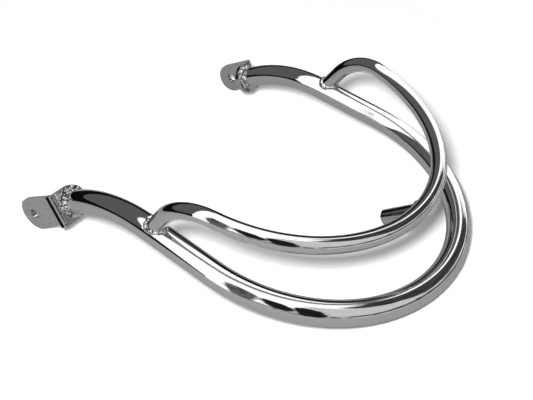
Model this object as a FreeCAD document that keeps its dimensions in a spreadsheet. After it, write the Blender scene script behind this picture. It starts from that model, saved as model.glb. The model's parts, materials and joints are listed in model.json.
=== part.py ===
import FreeCAD, Part
import Sketcher
import math
import os

# Front fender rail of a motorcycle: two hooped steel tubes, one over the other, welded into one piece.
# Millimetres. +X is the rider's right, +Y points ahead to the nose, +Z is up. The rail stands on the
# underside of its nose and on the lower edges of its two brackets, with the floor at Z = 0 and the
# origin under the middle of the whole.

SIZES = [
    ("lower_diameter", 19.05, "outside diameter of the lower rail's tube"),
    ("lower_wall", 1.65, "wall of the lower rail's tube"),
    ("upper_diameter", 12.7, "outside diameter of the upper rail's tube"),
    ("upper_wall", 1.5, "wall of the upper rail's tube"),
    ("nose_radius", 124, "centreline radius of the nose bend that both rails share"),
    ("nose_reach", 149.17, "nose of the lower rail's centreline, ahead of the origin"),
    ("lower_lean", 10.81, "rise of the lower rail towards the rear, in degrees"),
    ("lower_toe", 1.8, "turn of each lower arm towards the other, in degrees"),
    ("arm_behind_leg", 4.88, "straight length left on a lower arm behind the foot of the leg on it"),
    ("lower_drop_radius", 108, "centreline radius where a lower arm turns down"),
    ("lower_drop_angle", 38.5, "how far a lower arm turns down, in degrees"),
    ("lower_tail", 10.5, "straight end of a lower arm, up to its bracket"),
    ("upper_setback", 34.4, "nose of the upper rail behind the lower one, along the lower rail's plane"),
    ("upper_lean", 2, "further rise of the upper rail, against the lower one, in degrees"),
    ("upper_flare", 10, "angle by which the upper nose stops short of straight back, in degrees"),
    ("leg_radius", 39, "centreline radius where the upper rail turns down into its legs"),
    ("leg_angle", 69, "how far a leg turns down, in degrees"),
    ("leg_lean", 9.5, "lean of each leg towards the other, in degrees"),
    ("leg_length", 25.4, "straight length of each leg, down to the centre of the lower rail"),
    ("saw_stock", 2, "extra tube that is sawn off square to the bracket"),
    ("plate_thickness", 4, "thickness of the brackets' flat bar"),
    ("plate_width", 27.5, "width of the brackets' flat bar"),
    ("fold_radius", 2, "inside radius of a bracket's fold"),
    ("ear_reach", 16.3, "outer face of a bracket's ear, out from the tube's centre"),
    ("ear_length", 47.5, "tip of the ear behind the tube's end"),
    ("hole_diameter", 8.5, "bolt hole in the ear"),
    ("hole_inset", 14.5, "bolt hole's centre from the ear's tip"),
    ("stub_diameter", 12.7, "diameter of the centre stub"),
    ("stub_length", 35, "centre stub, from the upper rail's centre to its free end"),
    ("stub_slope", 35.7, "fall of the centre stub towards the rear, in degrees"),
    ("stub_drop", 4.5, "how far the stub's line passes under the upper rail's centre"),
    ("stub_chamfer", 0.8, "chamfer on the stub's free end"),
    ("bracket_bead", 3.6, "width of the weld around a tube's end, on its bracket"),
    ("bracket_bead_run", 7.2, "length of that weld along the tube, with its start under the skin"),
    ("bead_start", 0.4, "depth under a tube's skin at which a bead's taper starts"),
    ("joint_bead", 1.9, "width of the welds between the rails and at the stub"),
]

X_AXIS, Z_AXIS, DIAGONAL = "1; 0; 0", "0; 0; 1", "1; 1; 1"

doc = FreeCAD.newDocument("front_fender_rail")


def make_sheet():
    sheet = doc.addObject("Spreadsheet::Sheet", "Sizes")
    for row, (alias, value, meaning) in enumerate(SIZES, start=1):
        sheet.set(f"A{row}", alias.replace("_", " "))
        sheet.set(f"B{row}", str(value))
        sheet.setAlias(f"B{row}", alias)
        sheet.set(f"C{row}", meaning)
    doc.recompute()


# Short forms for bound objects and placements

def bind(thing, **sizes):
    for name, expression in sizes.items():
        thing.setExpression(name, expression)
    return thing


def move(x="0", y="0", z="0"):
    return f"placement(vector({x}; {y}; {z}); rotation(vector({Z_AXIS}); 0))"


def spin(axis, degrees):
    return f"placement(vector(0; 0; 0); rotation(vector({axis}); {degrees}))"


def combine(kind, name, shapes):
    whole = doc.addObject(kind, name)
    whole.Shapes = shapes
    return whole


def cut(name, base, tool):
    rest = doc.addObject("Part::Cut", name)
    rest.Base = base
    rest.Tool = tool
    return rest


def mirror(name, source):
    twin = doc.addObject("Part::Mirroring", name)
    twin.Source = source
    twin.Normal = FreeCAD.Vector(1, 0, 0)
    return twin


# A tube is walked from its nose. At each station local Z runs along the tube, and local X points away
# from the centre of the coming bend. Each step gives its solid and the next station.

def bend(name, station, radius, section, degrees, roll="0"):
    ring = bind(
        doc.addObject("Part::Torus", name),
        Radius1=radius,
        Radius2=section,
        Angle3=degrees,
        Placement=f"{station} * {spin(Z_AXIS, roll)} * {move(x=f'-({radius})')} * {spin(X_AXIS, '90')}",
    )
    end = f"{name}.Placement * {spin(Z_AXIS, f'{name}.Angle3')} * {move(x=f'{name}.Radius1')}"
    return ring, f"{end} * {spin(X_AXIS, '-90')}"


def run(name, station, length, section):
    rod = bind(doc.addObject("Part::Cylinder", name), Radius=section, Height=length, Placement=station)
    return rod, f"{name}.Placement * {move(z=f'{name}.Height')}"


# Rails: the right half of each, as a skin and a bore

ALONG_TUBE = spin(DIAGONAL, "120")
LOWER_NOSE = (
    f"{move(y='Sizes.nose_reach', z='Sizes.lower_diameter / 2')} * {spin(X_AXIS, '-Sizes.lower_lean')}"
)
UPPER_NOSE = (
    f"{LOWER_NOSE} * {move(y='-Sizes.upper_setback', z='Leg.rise')}"
    f" * {spin(X_AXIS, '-Sizes.upper_lean')}"
)
HEADING = "(90 - Sizes.upper_flare)"


def lower_half(name, section):
    nose, station = bend(
        f"{name}_nose", f"{LOWER_NOSE} * {ALONG_TUBE}", "Sizes.nose_radius", section, "90 + Sizes.lower_toe"
    )
    arm, station = run(f"{name}_arm", station, "Leg.arm", section)
    drop, station = bend(
        f"{name}_drop", station, "Sizes.lower_drop_radius", section, "Sizes.lower_drop_angle", roll="90"
    )
    tail, station = run(f"{name}_tail", station, "Sizes.lower_tail + Sizes.saw_stock", section)
    return combine("Part::MultiFuse", name, [nose, arm, drop, tail])


# Each leg of the upper rail runs down to the lower rail's centreline, and so sets how high the nose of
# the upper rail rises over the lower rail's plane. The rise is worked out from the bend's distance to the
# rear, its drop, and the fall and the run to the rear for each unit of the straight leg. The lower arms
# run straight until they have passed the feet of the legs.
def make_leg_sizes():
    leg = doc.addObject("App::VarSet", "Leg")
    for value in ("rear", "drop", "run", "fall", "rise", "arm"):
        leg.addProperty("App::PropertyFloat", value)
    bind(
        leg,
        rear=(
            f"Sizes.nose_radius * (1 - cos({HEADING}))"
            f" + Sizes.leg_radius * sin(Sizes.leg_angle) * sin({HEADING})"
            f" + Sizes.leg_radius * (1 - cos(Sizes.leg_angle)) * sin(Sizes.leg_lean) * cos({HEADING})"
        ),
        drop="Sizes.leg_radius * (1 - cos(Sizes.leg_angle)) * cos(Sizes.leg_lean) * cos(Sizes.upper_lean)",
        run=(
            f"cos(Sizes.leg_angle) * sin({HEADING})"
            f" + sin(Sizes.leg_angle) * sin(Sizes.leg_lean) * cos({HEADING})"
        ),
        fall=(
            "sin(Sizes.leg_angle) * cos(Sizes.leg_lean) * cos(Sizes.upper_lean)"
            " - Leg.run * sin(Sizes.upper_lean)"
        ),
        rise="Leg.drop + Sizes.leg_length * Leg.fall - Leg.rear * sin(Sizes.upper_lean)",
        arm=(
            "Sizes.upper_setback + Leg.rear + Sizes.leg_length * Leg.run"
            " - Sizes.nose_radius * (1 + sin(Sizes.lower_toe)) + Sizes.arm_behind_leg"
        ),
    )


def upper_half(name, section):
    start = f"{UPPER_NOSE} * {ALONG_TUBE}"
    nose, station = bend(f"{name}_nose", start, "Sizes.nose_radius", section, HEADING)
    knee, station = bend(
        f"{name}_knee", station, "Sizes.leg_radius", section, "Sizes.leg_angle", roll="90 - Sizes.leg_lean"
    )
    shin, station = run(f"{name}_shin", station, "Sizes.leg_length", section)
    return combine("Part::MultiFuse", name, [nose, knee, shin])


# The lower rail's ends are sawn square to the brackets
def make_lower_rail(skin):
    bore = lower_half("lower_bore", "Sizes.lower_diameter / 2 - Sizes.lower_wall")
    saw = bind(
        doc.addObject("Part::Box", "saw_cut"),
        Length="2 * Sizes.lower_diameter",
        Width="2 * Sizes.lower_diameter",
        Height="2 * Sizes.lower_diameter",
        Placement=f"{BRACKET_FRAME} * {move(x='-Sizes.lower_diameter', y='-Sizes.lower_diameter')}",
    )
    half = cut("lower_rail_half", cut("lower_tube", skin, bore), saw)
    combine("Part::MultiFuse", "lower_rail", [half, mirror("lower_rail_twin", half)])


# The upper rail's legs are coped to sit on the lower rail
def make_upper_rail(skin, lower_skin):
    bore = upper_half("upper_bore", "Sizes.upper_diameter / 2 - Sizes.upper_wall")
    half = cut("upper_rail_half", cut("upper_tube", skin, bore), lower_skin)
    combine("Part::MultiFuse", "upper_rail", [half, mirror("upper_rail_twin", half)])


# Brackets: flat bar, folded square. The plate caps the tube and the ear runs back outside it. In the
# bracket's own frame X points out, Y up across the bar and Z on along the tube.

BRACKET_FRAME = (
    "placement(lower_skin_tail.Placement * vector(0; 0; Sizes.lower_tail);"
    f" rotation(vector({X_AXIS}); 90 + Sizes.lower_drop_angle - Sizes.lower_lean))"
)
HALF_WIDTH = "Sizes.plate_width / 2"
FOLD_FROM_TUBE = "Sizes.ear_reach - Sizes.plate_thickness - Sizes.fold_radius"
FOLD_DEPTH = "Sizes.plate_thickness + Sizes.fold_radius"


def add_sketch(body, name, role, offset="0", turn=0):
    sketch = body.newObject("Sketcher::SketchObject", name)
    plane = next(item for item in body.Origin.OriginFeatures if item.Role == role)
    sketch.AttachmentSupport = [(plane, "")]
    sketch.MapMode = "FlatFace"
    sketch.AttachmentOffset = FreeCAD.Placement(
        FreeCAD.Vector(), FreeCAD.Rotation(FreeCAD.Vector(0, 0, 1), turn)
    )
    return bind(sketch, **{"AttachmentOffset.Base.z": offset})


def constrain(sketch, name, expression, *constraint):
    number = sketch.addConstraint(Sketcher.Constraint(*constraint))
    sketch.renameConstraint(number, name)
    sketch.setExpression(f"Constraints.{name}", expression)


def add_line(sketch, start, end, construction=False):
    segment = Part.LineSegment(FreeCAD.Vector(*start, 0), FreeCAD.Vector(*end, 0))
    return sketch.addGeometry(segment, construction)


# A tongue with a half-round end towards the sketch's +Y. Its root and its end's centre are given on Y.
def draw_tongue(sketch, root, centre, hole=None):
    circle = Part.Circle(FreeCAD.Vector(0, 20, 0), FreeCAD.Vector(0, 0, 1), 10)
    end = sketch.addGeometry(Part.ArcOfCircle(circle, 0, math.pi))
    left = add_line(sketch, (-10, 20), (-10, 0))
    back = add_line(sketch, (-10, 0), (10, 0))
    right = add_line(sketch, (10, 0), (10, 20))
    for joint in ((end, 2, left, 1), (right, 2, end, 1)):
        sketch.addConstraint(Sketcher.Constraint("Tangent", *joint))
    for joint in ((left, 2, back, 1), (back, 2, right, 1)):
        sketch.addConstraint(Sketcher.Constraint("Coincident", *joint))
    sketch.addConstraint(Sketcher.Constraint("Horizontal", back))
    sketch.addConstraint(Sketcher.Constraint("Vertical", right))
    sketch.addConstraint(Sketcher.Constraint("PointOnObject", end, 3, -2))
    constrain(sketch, "half_width", HALF_WIDTH, "Radius", end, 10)
    constrain(sketch, "centre", centre, "DistanceY", -1, 1, end, 3, 20)
    constrain(sketch, "root", root, "DistanceY", -1, 1, back, 1, 0)
    if hole:
        drilled = sketch.addGeometry(Part.Circle(FreeCAD.Vector(0, 20, 0), FreeCAD.Vector(0, 0, 1), 3))
        sketch.addConstraint(Sketcher.Constraint("PointOnObject", drilled, 3, -2))
        constrain(sketch, "hole_radius", "Sizes.hole_diameter / 2", "Radius", drilled, 3)
        constrain(sketch, "hole_height", hole, "DistanceY", -1, 1, drilled, 3, 20)


# The bar's section at the fold, with the fold's axis drawn beside it
def draw_fold(sketch):
    corners = ((-10, 0), (10, 0), (10, 4), (-10, 4))
    sides = [add_line(sketch, corners[side], corners[(side + 1) % 4]) for side in range(4)]
    for side in range(4):
        sketch.addConstraint(Sketcher.Constraint("Coincident", sides[side], 2, sides[(side + 1) % 4], 1))
    sketch.addConstraint(Sketcher.Constraint("Vertical", sides[1]))
    sketch.addConstraint(Sketcher.Constraint("Horizontal", sides[2]))
    sketch.addConstraint(Sketcher.Constraint("Vertical", sides[3]))
    sketch.addConstraint(Sketcher.Constraint("PointOnObject", sides[0], 1, -1))
    axis = add_line(sketch, (-10, 6), (10, 6), construction=True)
    for middle in (sides[0], axis):
        sketch.addConstraint(Sketcher.Constraint("Symmetric", middle, 1, middle, 2, -2))
    constrain(sketch, "width", "Sizes.plate_width", "DistanceX", sides[0], 1, sides[0], 2, 20)
    constrain(sketch, "thickness", "Sizes.plate_thickness", "DistanceY", sides[1], 1, sides[1], 2, 4)
    constrain(sketch, "axis_length", "Sizes.plate_width", "DistanceX", axis, 1, axis, 2, 20)
    constrain(sketch, "axis_height", FOLD_DEPTH, "DistanceY", -1, 1, axis, 1, 6)


def make_brackets():
    body = bind(doc.addObject("PartDesign::Body", "right_bracket"), Placement=BRACKET_FRAME)

    plate_outline = add_sketch(body, "plate_outline", "XY_Plane", turn=90)
    draw_tongue(plate_outline, root=f"-({FOLD_FROM_TUBE})", centre="0")
    plate = body.newObject("PartDesign::Pad", "plate")
    plate.Profile = plate_outline
    bind(plate, Length="Sizes.plate_thickness")

    fold_section = add_sketch(body, "fold_section", "YZ_Plane", offset=FOLD_FROM_TUBE)
    draw_fold(fold_section)
    fold = body.newObject("PartDesign::Revolution", "fold")
    fold.Profile = fold_section
    fold.ReferenceAxis = (fold_section, ["Axis0"])
    fold.Angle = 90
    fold.Reversed = True

    ear_outline = add_sketch(
        body, "ear_outline", "YZ_Plane", offset="Sizes.ear_reach - Sizes.plate_thickness"
    )
    draw_tongue(
        ear_outline,
        root=FOLD_DEPTH,
        centre=f"Sizes.ear_length - {HALF_WIDTH}",
        hole="Sizes.ear_length - Sizes.hole_inset",
    )
    ear = body.newObject("PartDesign::Pad", "ear")
    ear.Profile = ear_outline
    bind(ear, Length="Sizes.plate_thickness")
    return body, mirror("left_bracket", body)


# Centre stub: a short bar under the upper rail's nose, coped to it, that falls away to the rear

STUB_FRAME = (
    f"placement({UPPER_NOSE} * vector(0; 0; 0) - vector(0; 0; Sizes.stub_drop);"
    f" rotation(vector({X_AXIS}); 90 + Sizes.stub_slope))"
)


# The upper rail's nose bend as a full solid ring, made thicker by a margin
def nose_ring(name, margin="0"):
    return bind(
        doc.addObject("Part::Torus", name),
        Radius1="Sizes.nose_radius",
        Radius2=f"Sizes.upper_diameter / 2 + {margin}",
        Placement=f"{UPPER_NOSE} * {move(y='-Sizes.nose_radius')}",
    )


def make_stub():
    bar, end = run(
        "stub_bar", STUB_FRAME, "Sizes.stub_length - Sizes.stub_chamfer", "Sizes.stub_diameter / 2"
    )
    tip = bind(
        doc.addObject("Part::Cone", "stub_tip"),
        Radius1="Sizes.stub_diameter / 2",
        Radius2="Sizes.stub_diameter / 2 - Sizes.stub_chamfer",
        Height="Sizes.stub_chamfer",
        Placement=end,
    )
    blank = combine("Part::MultiFuse", "stub_blank", [bar, tip])
    return cut("centre_stub", blank, nose_ring("stub_cope"))


# Welds. The bead at a bracket tapers along the tube over its run, and spreads by its width where it meets
# the plate. The others are collars, as wide and as high as the bead, around the foot of the tube or bar
# that stands on a rail. Local Z points at the plate or the rail.

def make_bracket_welds(lower_skin, bracket):
    taper = bind(
        doc.addObject("Part::Cone", "bracket_bead_taper"),
        Radius1="Sizes.lower_diameter / 2 - Sizes.bead_start",
        Radius2="Sizes.lower_diameter / 2 + Sizes.bracket_bead",
        Height="Sizes.bracket_bead_run",
        Placement=f"{BRACKET_FRAME} * {move(z='-Sizes.bracket_bead_run')}",
    )
    foot = bind(
        doc.addObject("Part::Cylinder", "bracket_bead_foot"),
        Radius="Sizes.lower_diameter / 2 + Sizes.bracket_bead",
        Height="Sizes.plate_thickness / 2",
        Placement=BRACKET_FRAME,
    )
    envelope = combine("Part::MultiFuse", "bracket_bead", [taper, foot])
    weld = cut("right_bracket_weld", cut("bracket_bead_rest", envelope, lower_skin), bracket)
    mirror("left_bracket_weld", weld)


def collar(name, placement, diameter, length, near_rail, foot, rail):
    envelope = bind(
        doc.addObject("Part::Cylinder", f"{name}_envelope"),
        Radius=f"{diameter} / 2 + Sizes.joint_bead",
        Height=length,
        Placement=placement,
    )
    ring = combine("Part::MultiCommon", f"{name}_ring", [envelope, near_rail])
    return cut(name, cut(f"{name}_rest", ring, foot), rail)


def make_joint_welds(lower_skin, upper_skin):
    near_rail = lower_half("joint_reach", "Sizes.lower_diameter / 2 + Sizes.joint_bead")
    shin = "upper_skin_shin.Placement"
    weld = collar(
        "right_joint_weld",
        shin,
        "Sizes.upper_diameter",
        "Sizes.leg_length",
        near_rail,
        upper_skin,
        lower_skin,
    )
    mirror("left_joint_weld", weld)


def make_stub_weld(stub):
    near_rail = nose_ring("stub_reach", "Sizes.joint_bead")
    rail = doc.getObject("stub_cope")
    collar(
        "stub_weld", STUB_FRAME, "Sizes.stub_diameter", "Sizes.upper_diameter", near_rail, stub, rail
    )


PIECES = (
    "lower_rail",
    "upper_rail",
    "centre_stub",
    "right_bracket",
    "left_bracket",
    "right_bracket_weld",
    "left_bracket_weld",
    "right_joint_weld",
    "left_joint_weld",
    "stub_weld",
)


def check_and_export():
    for item in doc.Objects:
        if "Invalid" in item.State or "Error" in item.State:
            raise RuntimeError(f"{item.Name} failed: {item.State}")
    os.makedirs("parts", exist_ok=True)
    shapes = {name: doc.getObject(name).Shape for name in PIECES}
    for name, shape in shapes.items():
        if shape.isNull() or not shape.isValid() or len(shape.Solids) != 1:
            raise RuntimeError(f"{name} is not one valid solid")
    for name, shape in shapes.items():
        shape.exportStep(f"parts/{name}.step")
        print(f"{name}: {shape.Volume:.0f} mm3, {len(shape.Faces)} faces")


make_sheet()
make_leg_sizes()
lower_skin = lower_half("lower_skin", "Sizes.lower_diameter / 2")
upper_skin = upper_half("upper_skin", "Sizes.upper_diameter / 2")
make_lower_rail(lower_skin)
make_upper_rail(upper_skin, lower_skin)
right_bracket, left_bracket = make_brackets()
stub = make_stub()
make_bracket_welds(lower_skin, right_bracket)
make_joint_welds(lower_skin, upper_skin)
make_stub_weld(stub)
doc.recompute()
check_and_export()
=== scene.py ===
import json
import math

import bpy
from mathutils import Matrix, Vector


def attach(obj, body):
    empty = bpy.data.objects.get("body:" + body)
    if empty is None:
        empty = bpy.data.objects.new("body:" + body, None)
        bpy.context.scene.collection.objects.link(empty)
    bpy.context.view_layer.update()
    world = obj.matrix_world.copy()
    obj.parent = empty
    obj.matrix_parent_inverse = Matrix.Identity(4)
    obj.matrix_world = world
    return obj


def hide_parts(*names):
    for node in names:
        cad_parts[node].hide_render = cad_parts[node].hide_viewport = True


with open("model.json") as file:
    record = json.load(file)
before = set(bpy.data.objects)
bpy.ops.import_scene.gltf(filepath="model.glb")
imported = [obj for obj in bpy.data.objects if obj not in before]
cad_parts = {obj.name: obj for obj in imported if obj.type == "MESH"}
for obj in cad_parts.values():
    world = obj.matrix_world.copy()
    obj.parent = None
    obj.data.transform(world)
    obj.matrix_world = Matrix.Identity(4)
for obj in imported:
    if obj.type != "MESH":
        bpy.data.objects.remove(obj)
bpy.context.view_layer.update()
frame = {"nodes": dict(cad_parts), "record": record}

# Front fender rail: chromed tube, welded into one piece.
# Metres, +X to the rider's right, +Y to the nose, +Z up, floor at Z = 0.


print("camera")

view = {
    "place": (0.41545, 0.25145, 0.39669),
    "azimuth": 122.446,  # 0 looks along +Y, 90 along -X
    "elevation": 38.842,
    "roll": 1.767,
    "lens": 49.993,
    "sensor": 36,
    "near": 0.01,
    "far": 20,
}


def addCamera():
    data = bpy.data.cameras.new("camera")
    data.lens = view["lens"]
    data.sensor_width = view["sensor"]
    data.clip_start = view["near"]
    data.clip_end = view["far"]
    camera = bpy.data.objects.new("camera", data)
    bpy.context.scene.collection.objects.link(camera)
    turn = Matrix.Rotation(math.radians(view["azimuth"]), 4, "Z")
    tilt = Matrix.Rotation(math.radians(90 - view["elevation"]), 4, "X")
    roll = Matrix.Rotation(math.radians(view["roll"]), 4, "Z")
    camera.matrix_world = Matrix.Translation(view["place"]) @ turn @ tilt @ roll
    bpy.context.scene.camera = camera


addCamera()


# A shader under construction. Its add method makes any node, and a Socket does maths on values.

class Shader:
    def __init__(self, owner):
        owner.use_nodes = True
        self.tree = owner.node_tree
        self.tree.nodes.clear()

    def add(self, kind, settings=None, inputs=None, output=0):
        node = self.tree.nodes.new(kind)
        for name, value in (settings or {}).items():
            setattr(node, name, value)
        for place, value in (inputs or {}).items():
            if isinstance(value, Socket):
                self.tree.links.new(value.end, node.inputs[place])
            else:
                node.inputs[place].default_value = value
        return Socket(self, node.outputs[output]) if node.outputs else None


class Socket:
    def __init__(self, shader, end):
        self.shader = shader
        self.end = end

    def maths(self, operation, *values):
        return self.shader.add("ShaderNodeMath", {"operation": operation}, dict(enumerate(values)))

    def __add__(self, other):
        return self.maths("ADD", self, other)

    def __mul__(self, other):
        return self.maths("MULTIPLY", self, other)

    def __rmul__(self, other):
        return self.maths("MULTIPLY", other, self)

    def __rsub__(self, other):
        return self.maths("SUBTRACT", other, self)

    def __truediv__(self, other):
        return self.maths("DIVIDE", self, other)

    def __pow__(self, other):
        return self.maths("POWER", self, other)

    def __gt__(self, other):
        return self.maths("GREATER_THAN", self, other)

    def __abs__(self):
        return self.maths("ABSOLUTE", self)


def mixColour(shader, factor, first, second):
    inputs = {"Factor": factor, 6: first, 7: second}  # 6 and 7 are the node's two colours
    return shader.add("ShaderNodeMix", {"data_type": "RGBA"}, inputs, output=2)


def noise(shader, place, pattern, output=0):
    inputs = {"Vector": place, "Scale": pattern["scale"], "Detail": pattern["detail"]}
    return shader.add("ShaderNodeTexNoise", inputs=inputs, output=output)


def along(shader, place, axis):
    inputs = {0: place, 1: axis}
    return shader.add("ShaderNodeVectorMath", {"operation": "DOT_PRODUCT"}, inputs, "Value")


def smoothStep(shader, value, start, end):
    inputs = {"Value": value, "From Min": start, "From Max": end}
    return shader.add("ShaderNodeMapRange", {"interpolation_type": "SMOOTHSTEP"}, inputs)


def grey(level):
    return (level, level, level, 1)


print("chrome")

# Chrome plate. Roughness, haze and orange peel differ with the steel under it.
finishes = {
    "rail": {
        "colour": (0.83, 0.84, 0.85, 1),
        "grain": 0.05,  # how much the speckles darken it
        "roughness": 0.02,
        "haze": 0.03,  # how much rougher it is in clouds
        "peel": {"scale": 90, "detail": 2, "strength": 0.02},
    },
    "stub": {
        "colour": (0.74, 0.75, 0.76, 1),
        "grain": 0.08,
        "roughness": 0.04,
        "haze": 0.05,
        "peel": {"scale": 160, "detail": 2, "strength": 0.05},
    },
    "bracket": {
        "colour": (0.82, 0.83, 0.84, 1),
        "grain": 0.16,
        "roughness": 0.08,
        "haze": 0.10,
        "peel": {"scale": 260, "detail": 2, "strength": 0.15},
    },
    "weld": {
        "colour": (0.88, 0.88, 0.89, 1),
        "grain": 0.04,
        "roughness": 0.02,
        "haze": 0.03,
        "peel": {"scale": 700, "detail": 2, "strength": 0.1},
    },
}

cloud = {"scale": 60, "detail": 4}
speckle = {"scale": 900, "detail": 3, "low": 0.35, "high": 0.65}
peelDepth = 0.001

# Painted shade: dark seams between the lumps of a weld.
weldSeamShade = {
    "scale": 180,  # lumps to the metre
    "width": 0.11,  # of one lump
    "dark": (0.04, 0.04, 0.04, 1),
}

# Painted shade: a dark line along the crease where a bracket is folded.
foldShade = {
    "along": (0, 0.8855, 0.4647),  # out of the bracket's plate, towards the tube
    "start": -0.0943,  # where the ear begins to turn, that way
    "width": 0.0030,
    "soft": 0.0004,
    "outside": 0.1325,  # the line is on the ear's outer side only
    "dark": (0.01, 0.01, 0.01, 1),
}


# Masks the painted shade in the seams between a weld's lumps.
def paintedWeldSeamShade(shader, place):
    lumps = {"Vector": place, "Scale": weldSeamShade["scale"]}
    edge = shader.add("ShaderNodeTexVoronoi", {"feature": "DISTANCE_TO_EDGE"}, lumps)
    return smoothStep(shader, edge, weldSeamShade["width"], 0)


# Masks the painted shade along the bracket's fold.
def paintedFoldShade(shader, place):
    middle = foldShade["start"] + foldShade["width"] / 2
    off = abs(middle - along(shader, place, foldShade["along"]))
    line = smoothStep(shader, off, (foldShade["width"] + foldShade["soft"]) / 2, (foldShade["width"] - foldShade["soft"]) / 2)
    return line * (abs(along(shader, place, (1, 0, 0))) > foldShade["outside"])


def chromePlate(slot):
    finish = finishes[slot]
    material = bpy.data.materials.new(f"{slot}Chrome")
    shader = Shader(material)
    place = shader.add("ShaderNodeTexCoord", output="Object")
    relief = {
        "Height": noise(shader, place, finish["peel"]),
        "Strength": finish["peel"]["strength"],
        "Distance": peelDepth,
    }
    speckled = {
        "Value": noise(shader, place, speckle),
        "From Min": speckle["low"],
        "From Max": speckle["high"],
    }
    dull = tuple(part * (1 - 2 * finish["grain"]) for part in finish["colour"][:3]) + (1,)
    colour = mixColour(shader, shader.add("ShaderNodeMapRange", inputs=speckled), finish["colour"], dull)
    # Painted shade in the seams of every weld.
    if slot == "weld":
        colour = mixColour(shader, paintedWeldSeamShade(shader, place), colour, weldSeamShade["dark"])
    # Painted shade along the fold of each bracket.
    if slot == "bracket":
        colour = mixColour(shader, paintedFoldShade(shader, place), colour, foldShade["dark"])
    skin = {
        "Base Color": colour,
        "Metallic": 1,
        "Roughness": noise(shader, place, cloud) * finish["haze"] + finish["roughness"],
        "Normal": shader.add("ShaderNodeBump", inputs=relief),
    }
    surface = shader.add("ShaderNodeBsdfPrincipled", inputs=skin)
    shader.add("ShaderNodeOutputMaterial", inputs={"Surface": surface})
    return material


plate = {slot: chromePlate(slot) for slot in finishes}

for part in frame["record"]["subparts"]:
    for place in frame["nodes"][part["node"]].material_slots:
        place.material = plate[part["material_slot"]]


print("welds")

bead = {
    "merge": 0.00001,  # corners of the solid's mesh this near each other are one
    "voxel": 0.00035,
    "ripple": 0.0038,  # size of one lump
    "bracketLump": 0.0030,  # how far the lumps stand out
    "jointLump": 0.0010,
    "softenings": 4,
}


def weldBead(node, lump):
    mesh = frame["nodes"][node].data.copy()
    weld = bpy.data.objects.new(f"{node}_bead", mesh)
    bpy.context.scene.collection.objects.link(weld)
    bpy.ops.object.select_all(action="DESELECT")
    weld.select_set(True)
    bpy.context.view_layer.objects.active = weld
    bpy.ops.object.mode_set(mode="EDIT")
    bpy.ops.mesh.select_all(action="SELECT")
    bpy.ops.mesh.remove_doubles(threshold=bead["merge"])
    bpy.ops.object.mode_set(mode="OBJECT")
    ripples = bpy.data.textures.new(f"{node}_ripples", "VORONOI")
    ripples.noise_scale = bead["ripple"]
    grain = weld.modifiers.new("grain", "REMESH")
    grain.mode = "VOXEL"
    grain.voxel_size = bead["voxel"]
    lumps = weld.modifiers.new("lumps", "DISPLACE")
    lumps.texture = ripples
    lumps.texture_coords = "LOCAL"
    lumps.strength = -lump  # the texture is brightest between the lumps
    lumps.mid_level = 0.5
    soften = weld.modifiers.new("soften", "SMOOTH")
    soften.iterations = bead["softenings"]
    for modifier in ("grain", "lumps", "soften"):
        bpy.ops.object.modifier_apply(modifier=modifier)
    bpy.ops.object.shade_smooth()
    mesh.materials.clear()
    mesh.materials.append(plate["weld"])
    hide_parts(node)
    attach(weld, "root")


for side in ("right", "left"):
    weldBead(f"{side}_bracket_weld", bead["bracketLump"])
    weldBead(f"{side}_joint_weld", bead["jointLump"])
weldBead("stub_weld", bead["jointLump"])


print("studio")

studio = {
    "floorSize": 1.6,
    "floorWhite": 1.0,  # as the camera sees it
    "floorInMetal": 0.28,  # as the chrome mirrors it
    "shadowReach": 0.32,  # from here outwards the floor fades to plain white for the camera
    "whiteFrom": 0.5,
    "roomWhite": 1.3,  # soft light all around, as the chrome mirrors it
    "roomLight": 0.4,  # the same light on matt things
}

# Cards around the rail that the chrome mirrors, one laid over another. The azimuth of "at" runs from +X
# over +Y, and its elevation from the floor up. All angles are in degrees, as seen from the rail.
cards = {
    "paleWall": {
        "at": (84, 9),
        "half": (54, 49),  # half its width and half its height
        "turn": 44,
        "soft": 4,  # width of its blurred edge
        "light": 0.67,
        "oval": False,
        "ragged": False,
    },
    "darkDoorway": {
        "at": (147, 40),
        "half": (20, 20.5),
        "turn": -20,
        "soft": 3,
        "light": 0.034,
        "oval": False,
        "ragged": True,
    },
    "skirting": {
        "at": (113, 10),
        "half": (62, 7),
        "turn": -3,
        "soft": 4,
        "light": 0.09,
        "oval": False,
        "ragged": True,
    },
    "shadeInFront": {
        "at": (31, -3),
        "half": (36, 17),
        "turn": 5,
        "soft": 2,
        "light": 0.24,
        "oval": False,
        "ragged": True,
    },
    "greyCard": {
        "at": (6, 33),
        "half": (9.5, 32),
        "turn": -8,
        "soft": 3,
        "light": 0.085,
        "oval": True,
        "ragged": True,
    },
    "blackCardLeft": {
        "at": (30, 33),
        "half": (8.5, 25),
        "turn": -7,
        "soft": 2,
        "light": 0.010,
        "oval": True,
        "ragged": True,
    },
    "blackCardRight": {
        "at": (48, 24),
        "half": (8, 35),
        "turn": -13,
        "soft": 2,
        "light": 0.010,
        "oval": True,
        "ragged": True,
    },
    "blackSurround": {
        "at": (266, 12),
        "half": (76, 53),
        "turn": -14,
        "soft": 2,
        "light": 0.004,
        "oval": True,
        "ragged": False,
    },
    "darkPanel": {
        "at": (271, 44),
        "half": (61, 26),
        "turn": -11,
        "soft": 2,
        "light": 0.108,
        "oval": True,
        "ragged": False,
    },
}

cardFront = 0.02  # a card shows in directions nearer to its own than this, as a cosine

# What makes a ragged card uneven. Its edges wander, and its light varies from "dark" to "bright".
wander = {"scale": 12, "detail": 3, "sway": 0.14}
mottle = {"scale": 14, "detail": 4, "low": 0.35, "high": 0.65, "dark": 0.3, "bright": 2.6}

key = {
    "light": 1.3,
    "beside": (-0.055, 0.06, 0),  # to the left of the camera and above it
    "radius": 0.045,
}


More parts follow.
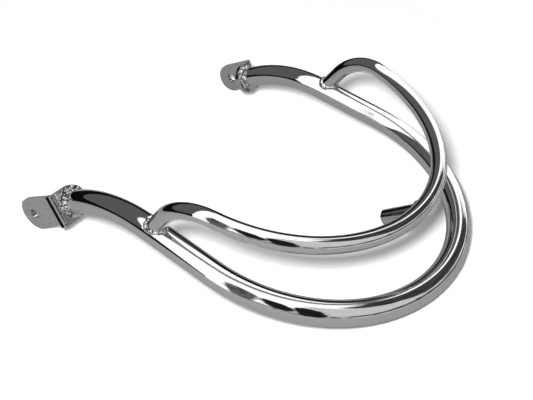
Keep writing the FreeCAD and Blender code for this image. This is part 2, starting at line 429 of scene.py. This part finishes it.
def cardMask(shader, direction, card):
    azimuth, elevation = (math.radians(angle) for angle in card["at"])
    turn = math.radians(card["turn"])
    face = Vector((math.cos(elevation), 0, math.sin(elevation)))
    toward = Matrix.Rotation(azimuth, 3, "Z") @ face
    side = Matrix.Rotation(azimuth, 3, "Z") @ Vector((0, math.cos(turn), 0))
    across = side + toward.cross(side.normalized()) * math.sin(turn)
    upward = toward.cross(across)

    def inside(distance, reach, unit):
        blur = math.tan(math.radians(card["soft"])) / unit / 2
        return smoothStep(shader, distance, reach + blur, reach - blur)

    depth = along(shader, direction, toward)
    width, height = (math.tan(math.radians(half)) for half in card["half"])
    aside = abs(along(shader, direction, across) / depth)
    above = abs(along(shader, direction, upward) / depth)
    if card["oval"]:
        ring = ((aside / width) ** 2 + (above / height) ** 2) ** 0.5
        mask = inside(ring, 1, min(width, height))
    else:
        mask = inside(aside, width, 1) * inside(above, height, 1)
    return mask * (depth > cardFront)


def addWorld():
    world = bpy.data.worlds.new("studio")
    bpy.context.scene.world = world
    shader = Shader(world)
    direction = shader.add("ShaderNodeTexCoord", output="Generated")
    drift = {0: noise(shader, direction, wander, "Color"), 1: (0.5, 0.5, 0.5)}
    drift = shader.add("ShaderNodeVectorMath", {"operation": "SUBTRACT"}, drift)
    swayed = {0: drift, 1: (wander["sway"],) * 3, 2: direction}
    swayed = shader.add("ShaderNodeVectorMath", {"operation": "MULTIPLY_ADD"}, swayed)
    tint = {
        "Value": noise(shader, direction, mottle),
        "From Min": mottle["low"],
        "From Max": mottle["high"],
        "To Min": mottle["dark"],
        "To Max": mottle["bright"],
    }
    tint = shader.add("ShaderNodeMapRange", inputs=tint)
    room = grey(studio["roomWhite"])
    for card in cards.values():
        colour = tint * card["light"] if card["ragged"] else grey(card["light"])
        mask = cardMask(shader, swayed if card["ragged"] else direction, card)
        room = mixColour(shader, mask, room, colour)
    mirrored = shader.add("ShaderNodeLightPath", output="Is Glossy Ray")
    seen = shader.add("ShaderNodeLightPath", output="Is Camera Ray")
    light = mixColour(shader, mirrored, grey(studio["roomLight"]), room)
    light = mixColour(shader, seen, light, grey(1))
    background = shader.add("ShaderNodeBackground", inputs={"Color": light, "Strength": 1})
    shader.add("ShaderNodeOutputWorld", inputs={"Surface": background})


def addFloor():
    bpy.ops.object.select_all(action="DESELECT")
    bpy.ops.mesh.primitive_plane_add(size=studio["floorSize"])
    floor = bpy.context.object
    floor.name = "floor"
    material = bpy.data.materials.new("floor")
    shader = Shader(material)
    seen = shader.add("ShaderNodeLightPath", output="Is Camera Ray")
    colour = mixColour(shader, seen, grey(studio["floorInMetal"]), grey(studio["floorWhite"]))
    paper = shader.add("ShaderNodeBsdfDiffuse", inputs={"Color": colour})
    white = shader.add("ShaderNodeEmission", inputs={"Color": grey(1), "Strength": 1})
    place = shader.add("ShaderNodeTexCoord", output="Object")
    distance = shader.add("ShaderNodeVectorMath", {"operation": "LENGTH"}, {0: place}, "Value")
    fade = smoothStep(shader, distance, studio["shadowReach"], studio["whiteFrom"])
    surface = shader.add("ShaderNodeMixShader", inputs={0: fade * seen, 1: paper, 2: white})
    shader.add("ShaderNodeOutputMaterial", inputs={"Surface": surface})
    floor.data.materials.append(material)


def addKey():
    data = bpy.data.lights.new("key", "POINT")
    lamp = bpy.data.objects.new("key", data)
    bpy.context.scene.collection.objects.link(lamp)
    lamp.location = bpy.context.scene.camera.matrix_world @ Vector(key["beside"])
    data.energy = 4 * math.pi ** 2 * key["light"]
    data.shadow_soft_size = key["radius"]
    shader = Shader(data)
    even = shader.add("ShaderNodeLightFalloff", inputs={"Strength": 1}, output="Constant")
    glow = shader.add("ShaderNodeEmission", inputs={"Strength": even})
    shader.add("ShaderNodeOutputLight", inputs={"Surface": glow})
    lamp.visible_glossy = False


addWorld()
addFloor()
addKey()

bpy.context.scene.view_settings.view_transform = "Standard"
